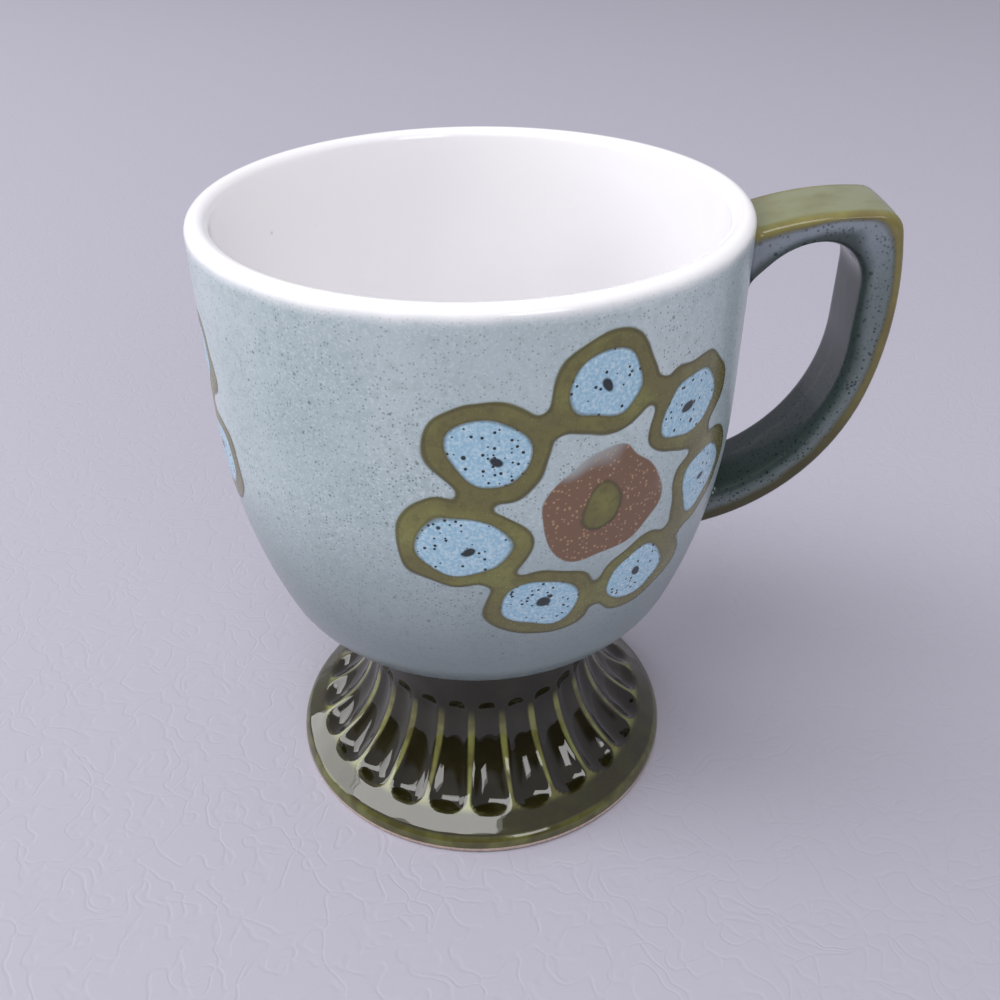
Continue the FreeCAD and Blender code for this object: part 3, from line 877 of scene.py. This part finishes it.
def speckled_ground(paint, glaze, place):
    """The clouded, finely speckled grey-blue of the bowl and the strap: its colour and its pits."""
    cloud = paint.noise(place, 34.0, detail=2.0, roughness=0.55)
    fine = paint.noise(place, 2300.0, detail=1.0)
    coarse = paint.noise(place, 620.0, detail=1.0)
    base = paint.mix(cloud.step(0.46, 0.70) * 0.6, glaze.grey, glaze.grey_light)
    base = paint.mix(cloud.step(0.50, 0.30) * 0.35, base, glaze.grey_deep)
    patches = paint.noise(place, 48.0, detail=1.0).step(0.28, 0.75)
    base = paint.mix(fine.step(0.50, 0.66) * (0.4 + patches * 0.35), base, glaze.grey_light)
    base = paint.mix(coarse.step(0.5, 0.3) * 0.28, base, glaze.grey_deep)
    pits = paint.dots(place, 1750.0, 0.27, 0.8) * (0.42 + patches * 0.3)
    larger = paint.dots(place, 600.0, 0.16, 0.10)
    specks = pits.most(larger * 0.7)
    base = paint.mix(specks, base, glaze.speckle)
    return base, specks


def oval(x, y, half_length, half_width):
    """Distance from an oval's edge, negative inside it, in the units of x and y."""
    scaled = ((x / half_length) ** 2.0 + (y / half_width) ** 2.0) ** 0.5
    slope = ((x / (half_length * half_length)) ** 2.0 + (y / (half_width * half_width)) ** 2.0) ** 0.5
    return scaled * (scaled - 1.0) / (slope + 0.001)


def flower_fields(paint, scene, place):
    """Distances in millimetres to a flower's painted shapes, each negative inside its shape."""
    flower = scene.mug_flower
    x, y, z = paint.split(place)
    pitch = 2 * HALF_TURN / flower.count
    local = (y.math("ARCTAN2", x) - flower.turn).math("WRAP", pitch / 2, -pitch / 2)
    wobble = paint.split(paint.noise(place, 75.0, detail=1.0, output="Color"))
    s = local * (scene.mug_bowl.radius / MM / flower.stretch) + (wobble[0] - 0.5) * PAINT_WAVER
    t = (z - flower.height) * (1 / MM) + (wobble[1] - 0.5) * PAINT_WAVER

    reach = (s ** 2.0 + t ** 2.0) ** 0.5
    petal_pitch = 2 * HALF_TURN / flower.petals
    bearing = t.math("ARCTAN2", s) - QUARTER_TURN
    folded = bearing.math("WRAP", petal_pitch / 2, -petal_pitch / 2)
    petal_x = reach * folded.math("COSINE") - flower.petal_reach / MM
    petal_y = reach * folded.math("SINE")
    petal = oval(petal_x, petal_y, flower.petal_length / MM, flower.petal_width / MM)
    wreath = abs(reach - (flower.petal_reach - 0.3 * flower.petal_length) / MM) - flower.wreath / MM
    band = (petal - flower.band / MM).math("SMOOTH_MIN", wreath, 1.6)
    hole_x = petal_x - HOLE_PLACE[0]
    hole_y = (petal_y - HOLE_PLACE[1]) * HOLE_SQUASH
    hole = (hole_x ** 2.0 + hole_y ** 2.0) ** 0.5 - HOLE_RADIUS
    return {"petal": petal, "band": band, "hole": hole, "middle": reach - flower.middle / MM,
            "eye": reach - flower.eye / MM}


def bowl_glaze(scene):
    """The bowl's outside: speckled ground, painted flowers, and white run down from the lip."""
    glaze = scene.mug_glaze

    def build(paint):
        place = paint.place()
        height = paint.split(place)[2] * (1 / MM)
        lip = scene.mug_bowl.height / MM
        ground, specks = speckled_ground(paint, glaze, place)
        ground = paint.mix(height.step(lip - 19.0, lip - 3.0) * 0.15, ground, glaze.grey_light)
        # Painted shade, with some deeper glaze: the ground darkens towards the bottom of the bowl, where
        # its side turns down and away from the light.
        ground = paint.mix(height.step(lip - 29.0, lip - 67.0) * 0.8, ground,
                           scaled(glaze.grey_deep, 0.46))
        shape = flower_fields(paint, scene, place)

        fine = paint.noise(place, 900.0, detail=1.0)
        tone = paint.noise(place, 120.0, detail=2.0)
        olive = paint.mix(tone.step(0.4, 0.75) * 0.5, glaze.olive, glaze.olive_pale)
        olive = paint.mix(fine.step(0.5, 0.3) * 0.25, olive, glaze.olive_dark)

        blue = paint.mix(paint.noise(place, 1900.0, detail=1.0).step(0.32, 0.80), glaze.sky,
                         glaze.sky_light)
        pinholes = paint.dots(place, 1250.0, 0.30, 0.45)
        larger = paint.dots(place, 480.0, 0.18, 0.35)
        hollow = (shape["hole"] + (tone - 0.5) * 2.0).step(0.25, -0.25)
        blue = paint.mix(pinholes.most(larger).most(hollow), blue, glaze.pit)

        grains = paint.dots(place, 1700.0, 0.36, 0.7)
        worn = paint.noise(place, 62.0, detail=1.0)
        brown = paint.mix(worn.step(0.50, 0.60) * 0.75, glaze.brown, glaze.grey)
        brown = paint.mix(grains * 0.55, brown, glaze.brown_light)

        in_band = shape["band"].step(0.15, -0.15)
        in_petal = shape["petal"].step(0.15, -0.15)
        in_middle = shape["middle"].step(0.2, -0.2)
        in_eye = shape["eye"].step(0.2, -0.2)
        base = paint.mix(in_middle, ground, brown)
        base = paint.mix(in_band.most(in_eye), base, olive)
        base = paint.mix(in_petal, base, blue)
        edge = abs(shape["band"] + 0.2).least(abs(shape["eye"])).step(0.5, 0.1)
        base = paint.mix(edge * 0.55, base, glaze.olive_dark)
        rim = abs(shape["petal"]).step(0.4, 0.1)
        base = paint.mix(rim * 0.5, base, glaze.olive_dark)

        run = tone * 1.2
        white = (height + run).step(lip - 2.4, lip + 0.3)
        base = paint.mix(white, base, glaze.white)

        relief = in_band.most(in_eye) * 0.8
        normal = paint.bump(relief, 0.14 * MM)
        roughness = 0.3 + in_middle * 0.2 + specks * 0.1 - white * 0.18 - in_band * 0.05
        return paint.finish(base, roughness, normal, Coat_Weight=0.12, Coat_Roughness=0.15)
    return kept_material("bowl glaze", build)


def foot_glaze(scene):
    """The glossy olive of the foot: pale where it is thin on the ridges, near black in the flutes."""
    glaze = scene.mug_glaze

    def build(paint):
        place = paint.place()
        x, y, z = paint.split(place)
        height = z * (1 / MM)
        radius = ((x ** 2.0 + y ** 2.0) ** 0.5) * (1 / MM)
        rim = scene.mug_foot.radius / MM
        pool = paint.value("pool")
        fluted = paint.value("fluted")
        streak = paint.noise(place, 170.0, detail=2.0, roughness=0.6)
        thick = paint.mix(streak.step(0.35, 0.8), glaze.pool, scaled(glaze.olive, 0.14))
        thin = paint.mix(streak.step(0.35, 0.65), scaled(glaze.olive_pale, 0.75),
                         scaled(glaze.olive, 0.7))
        # The glaze is thin on the ridges and over the brim's round, and thick on the neck and the brim.
        # Near the neck the ridges darken too: painted shade under the bowl.
        top = height.step(18.0, 23.5)
        brim = radius.step(rim - 6.0, rim - 4.2)
        ridges = pool * (1.0 - brim * 0.25) + (1.0 - pool) * top.most(brim * 0.7)
        round_edge = radius.step(rim - 1.8, rim - 0.6) * 0.55
        depth = fluted * ridges + (1.0 - fluted) * (1.0 - round_edge)
        base = paint.mix(depth.step(0.02, 0.9), thin, thick)
        normal = paint.bump(paint.noise(place, 130.0, detail=1.0), 0.8 * MM, strength=0.6)
        shine = height.step(23.5, 17.0) * 0.3
        return paint.finish(base, 0.04, normal, IOR=1.5, Specular_IOR_Level=0.45, Coat_Weight=shine,
                            Coat_Roughness=0.03, Coat_IOR=1.6)
    return kept_material("foot glaze", build)


def bare_clay(scene):
    """The unglazed ring that the mug rests on."""
    glaze = scene.mug_glaze

    def build(paint):
        place = paint.place()
        grit = paint.noise(place, 1400.0, detail=3.0, roughness=0.7)
        dark = scaled(glaze.clay, 0.62)
        base = paint.mix(grit.step(0.4, 0.75), glaze.clay, dark)
        normal = paint.bump(grit, 0.1 * MM)
        return paint.finish(base, 0.85, normal)
    return kept_material("bare clay", build)


def strap_glaze(scene):
    """The strap: olive over its outer face and edges, speckled ground on its sides and inner face."""
    glaze = scene.mug_glaze

    def build(paint):
        place = paint.place()
        ground, specks = speckled_ground(paint, glaze, place)
        girth = paint.value("girth") * (1 / MM)
        inner_edge = paint.value("inner_edge") * (1 / MM)
        # The run goes from 0 at the top root to 1 at the lower one.
        run = paint.value("run")
        waver = paint.noise(place, 160.0, detail=3.0)
        slate = paint.mix(run.step(0.24, 0.46), glaze.slate_light, glaze.slate)
        ground = paint.mix(0.84 + specks * 0.1, ground, slate)
        # Painted shade: a dark band along the edge towards the fingers, moved to the gap's edge under the
        # bar, and the near half of the inner face darkened as well.
        centre = 3.0 - run.step(0.30, 0.22) * 2.6
        shade = (abs(inner_edge - centre) + (waver - 0.5) * 2.4).step(5.8, 2.6)
        inside = inner_edge.step(-1.0, 1.0) * (paint.split(place)[1] * (1 / MM)).step(6.0, -1.0)
        ground = paint.mix(shade.most(inside) * 0.85, ground, scaled(glaze.slate, 0.34, 0.42, 0.32))
        pits = paint.dots(place, 1500.0, 0.32, 0.8) * (0.5 + run.step(0.35, 0.6) * 0.4)
        holes = paint.dots(place, 700.0, 0.24, 0.5) * (shade * 0.6 + 0.4)
        ground = paint.mix(pits.most(holes), ground, glaze.pit)

        border = 2.5 + run.step(0.25, 0.4) * 0.8 + (waver - 0.5) * 1.4
        olive_area = (girth - border).step(0.5, -0.5)
        streak = paint.noise(place, 150.0, detail=3.0)
        milky = girth.step(0.2, -1.2) * run.step(0.40, 0.25)
        olive = paint.mix(streak.step(0.3, 0.75) * 0.6, glaze.olive, glaze.olive_pale)
        olive = paint.mix(milky * (streak * 2.2 - 0.2), olive, glaze.moss)
        line = abs(girth - border - 0.1).step(0.9, 0.1)
        olive = paint.mix(girth.step(-0.6, 1.4) * 0.25, olive, glaze.brown)
        # Painted shade: the olive darkens down the lower bow, which turns away from the light.
        olive = paint.mix(run.step(0.48, 0.80) * 0.9, olive, scaled(glaze.olive_dark, 0.7))
        base = paint.mix(olive_area, ground, olive)
        base = paint.mix(line * 0.4, base, glaze.olive_dark)
        relief = olive_area * 0.5 + streak * 0.6
        normal = paint.bump(relief, 0.1 * MM)
        return paint.finish(base, 0.12, normal, Specular_IOR_Level=0.4)
    return kept_material("strap glaze", build)


def add_lamp(name, place, aim, size, power, roll):
    """A soft lamp at a place, turned towards its aim; size is width and height."""
    data = bpy.data.lights.new(name, "AREA")
    data.shape = "RECTANGLE"
    data.size = size[0]
    data.size_y = size[1]
    data.energy = power
    lamp = bpy.data.objects.new(name, data)
    lamp.location = place
    way = Vector(aim) - Vector(place)
    turned = way.to_track_quat("-Z", "Y").to_matrix() @ Matrix.Rotation(roll, 3, "Z")
    lamp.rotation_euler = turned.to_euler()
    bpy.context.scene.collection.objects.link(lamp)


def pale_surroundings(stage):
    """A world that lights softly, pale to the camera and in reflections but dark low down in front."""
    world = bpy.data.worlds.new("pale room")
    bpy.context.scene.world = world
    paint = Paint(world)
    _, y, z = paint.split(paint.node("ShaderNodeTexCoord", output="Generated"))
    ahead = y.step(-0.15, -0.55)
    low = z.step(stage.dark_height + 0.12, stage.dark_height - 0.02)
    room = paint.mix(ahead * low * 0.93, stage.floor, (0.02, 0.02, 0.022))
    rays = paint.node("ShaderNodeLightPath", output="Is Camera Ray")
    glossy = paint.node("ShaderNodeLightPath", output="Is Glossy Ray")
    clear = paint.node("ShaderNodeLightPath", output="Is Transmission Ray")
    shown = paint.mix(rays, room, stage.floor)
    seen = paint.node("ShaderNodeBackground", None, {"Color": shown, "Strength": 1.0})
    light = paint.node("ShaderNodeBackground", None,
                       {"Color": (0.95, 0.96, 1.0), "Strength": stage.room_light})
    mix = paint.node("ShaderNodeMixShader", None, {0: rays.most(glossy).most(clear), 1: light, 2: seen})
    paint.node("ShaderNodeOutputWorld", None, {"Surface": mix})


def creased_floor(stage):
    """The plain floor, with a faint net of creases in it."""
    paint = Paint(bpy.data.materials.new("floor"))
    place = paint.place()
    stir = paint.node("ShaderNodeTexNoise", {"noise_dimensions": "2D"},
                      {"Vector": place, "Scale": 70.0, "Detail": 2.0}, output="Color")
    bent = paint.node("ShaderNodeMix", {"data_type": "VECTOR"}, {0: 0.035, 4: place, 5: stir}, output=1)
    net = paint.node("ShaderNodeTexVoronoi", {"feature": "DISTANCE_TO_EDGE", "voronoi_dimensions": "2D"},
                     {"Vector": bent, "Scale": 120.0})
    normal = paint.bump(net.step(0.0, 0.14), 0.20 * MM, strength=0.25)
    return paint.finish(stage.floor, 0.7, normal)


def set_camera(scene, stage):
    """Put the camera where the stage's settings say; its roll is about its own line of sight."""
    data = bpy.data.cameras.new("camera")
    data.lens = stage.lens
    data.clip_start = 0.01
    camera = bpy.data.objects.new("camera", data)
    level = math.cos(stage.camera_pitch)
    ahead = Vector((math.sin(stage.camera_yaw) * level, math.cos(stage.camera_yaw) * level,
                    -math.sin(stage.camera_pitch)))
    right = Vector((math.cos(stage.camera_yaw), -math.sin(stage.camera_yaw), 0.0))
    down = ahead.cross(right)
    leaning = math.cos(stage.camera_roll) * right + math.sin(stage.camera_roll) * down
    upright = math.sin(stage.camera_roll) * right - math.cos(stage.camera_roll) * down
    turned = Matrix((leaning, upright, -ahead)).transposed()
    camera.matrix_world = Matrix.Translation(Vector(stage.camera_place)) @ turned.to_4x4()
    scene.collection.objects.link(camera)
    scene.camera = camera


MUG_MIDDLE = (0.0, 0.0, 0.05)
FOOT_FRONT = (0.0, -0.03, 0.01)
LAMPS = (
    # Each lamp's name, place, aim, width and height in metres, watts and roll.
    ("softbox", (-0.82, -0.60, 1.95), MUG_MIDDLE, (2.60, 0.90), 38.0, math.radians(36)),
    ("left window", (-1.85, 0.50, 0.95), MUG_MIDDLE, (1.60, 1.10), 20.0, 0.0),
    ("right window", (0.80, -1.60, 1.04), FOOT_FRONT, (0.75, 0.60), 7.0, 0.0),
)
FLOOR_RADIUS = 3.0


class MUG_OT_stage(bpy.types.Operator):
    """Lay the plain floor, hang the lamps and set the camera"""
    bl_idname = "mug.stage"
    bl_label = "Floor, lamps and camera"

    def execute(self, context):
        scene = context.scene
        stage = scene.mug_stage
        clear_selection()
        bpy.ops.mesh.primitive_circle_add(vertices=96, radius=FLOOR_RADIUS, fill_type="NGON",
                                          location=(0.0, 0.0, 0.0))
        floor = context.active_object
        floor.name = "floor"
        floor.data.materials.append(creased_floor(stage))

        for lamp in LAMPS:
            add_lamp(*lamp)
        pale_surroundings(stage)
        set_camera(scene, stage)
        scene.view_settings.view_transform = "Standard"
        return {"FINISHED"}


class MUG_PT_panel(bpy.types.Panel):
    """Lists the mug's operators and sizes"""
    bl_idname = "MUG_PT_panel"
    bl_label = "Pedestal mug"
    bl_space_type = "VIEW_3D"
    bl_region_type = "UI"
    bl_category = "Pedestal mug"

    def draw(self, context):
        for operator in (MUG_OT_body, MUG_OT_handle, MUG_OT_stage):
            self.layout.operator(operator.bl_idname)
        for name, group in SIZE_GROUPS.items():
            box = self.layout.box()
            box.label(text=group.__doc__)
            for size in group.__annotations__:
                box.prop(getattr(context.scene, name), size)


CLASSES = (*SIZE_GROUPS.values(), MUG_OT_body, MUG_OT_handle, MUG_OT_stage, MUG_PT_panel)


def register():
    """Register the classes and hang the sizes on the scene."""
    for kind in CLASSES:
        bpy.utils.register_class(kind)
    for name, group in SIZE_GROUPS.items():
        setattr(bpy.types.Scene, name, bpy.props.PointerProperty(type=group))


def unregister():
    """Undo register, in the opposite order."""
    for name in SIZE_GROUPS:
        delattr(bpy.types.Scene, name)
    for kind in reversed(CLASSES):
        bpy.utils.unregister_class(kind)


def main():
    """Register the classes and build the mug and its stage."""
    register()
    bpy.ops.mug.body()
    bpy.ops.mug.handle()
    bpy.ops.mug.stage()


if __name__ == "__main__":
    main()
